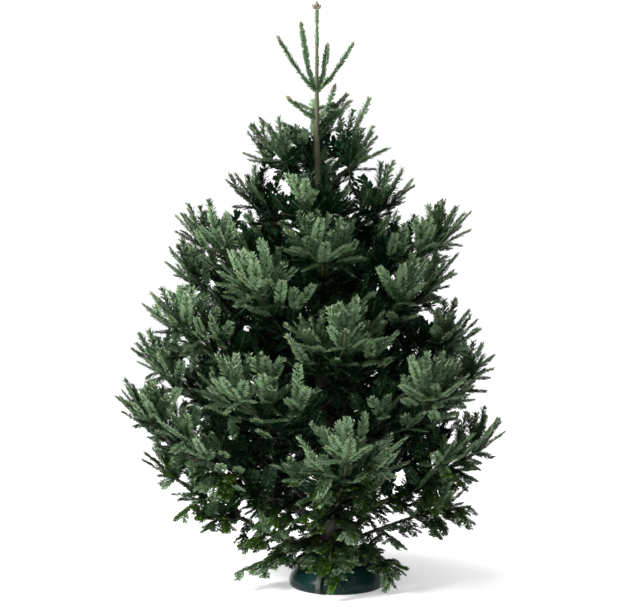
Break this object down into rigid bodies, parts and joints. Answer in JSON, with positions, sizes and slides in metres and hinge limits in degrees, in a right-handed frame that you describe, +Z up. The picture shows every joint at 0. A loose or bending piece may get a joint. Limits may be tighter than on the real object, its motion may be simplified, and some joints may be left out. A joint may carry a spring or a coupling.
{
  "type": "cut fir christmas tree in a stand",
  "caption": "Undecorated cut fir with ascending whorled boughs, open at the top round a bare leader, gripped by its trunk in a low domed plastic stand.",
  "frame": {"origin": "centre of the stand's flat underside, on the floor", "axes": "+Z up along the tree, -Y towards the front, +X to the right seen from the front"},
  "size_m": [1.3069, 1.26, 1.96],
  "materials": {
    "foliage": "dark green fir needles, paler grey-green underneath",
    "bark": "smooth grey-brown young bark, greener towards the top",
    "stand": "dark teal green, moulded and glossy",
    "stand_fittings": "black, moulded"
  },
  "bodies": {
    "root": {"stand_base": "stand", "stand_pedal": "stand_fittings", "stand_claw_1": "stand_fittings", "stand_claw_2": "stand_fittings", "stand_claw_3": "stand_fittings", "trunk": "bark", "low_bough_1": "bark", "low_spray_1": "foliage", "low_bough_2": "bark", "low_spray_2": "foliage", "low_bough_3": "bark", "low_spray_3": "foliage", "main_bough_1": "bark", "main_bough_2": "bark", "main_bough_3": "bark", "main_bough_4": "bark", "main_bough_5": "bark", "spray_1_1": "foliage", "spray_1_2": "foliage", "spray_1_3": "foliage", "spray_1_4": "foliage", "spray_1_5": "foliage", "spray_2_1": "foliage", "spray_2_2": "foliage", "spray_2_3": "foliage", "spray_2_4": "foliage", "spray_2_5": "foliage", "spray_3_1": "foliage", "spray_3_2": "foliage", "spray_3_3": "foliage", "spray_3_4": "foliage", "spray_3_5": "foliage", "spray_4_1": "foliage", "spray_4_2": "foliage", "spray_4_3": "foliage", "spray_4_4": "foliage", "spray_4_5": "foliage", "spray_5_1": "foliage", "spray_5_2": "foliage", "spray_5_3": "foliage", "spray_5_4": "foliage", "spray_5_5": "foliage", "spray_6_1": "foliage", "spray_6_2": "foliage", "spray_6_3": "foliage", "spray_6_4": "foliage", "spray_7_1": "foliage", "spray_7_2": "foliage", "spray_7_3": "foliage", "spray_7_4": "foliage", "spray_7_5": "foliage", "upper_shoot_1": "foliage", "upper_shoot_2": "foliage", "top_shoot_1": "foliage", "top_shoot_2": "foliage", "top_shoot_3": "foliage", "top_shoot_4": "foliage", "hanging_sprig_1": "foliage", "hanging_sprig_2": "foliage", "hanging_sprig_3": "foliage"}
  },
  "joints": []
}
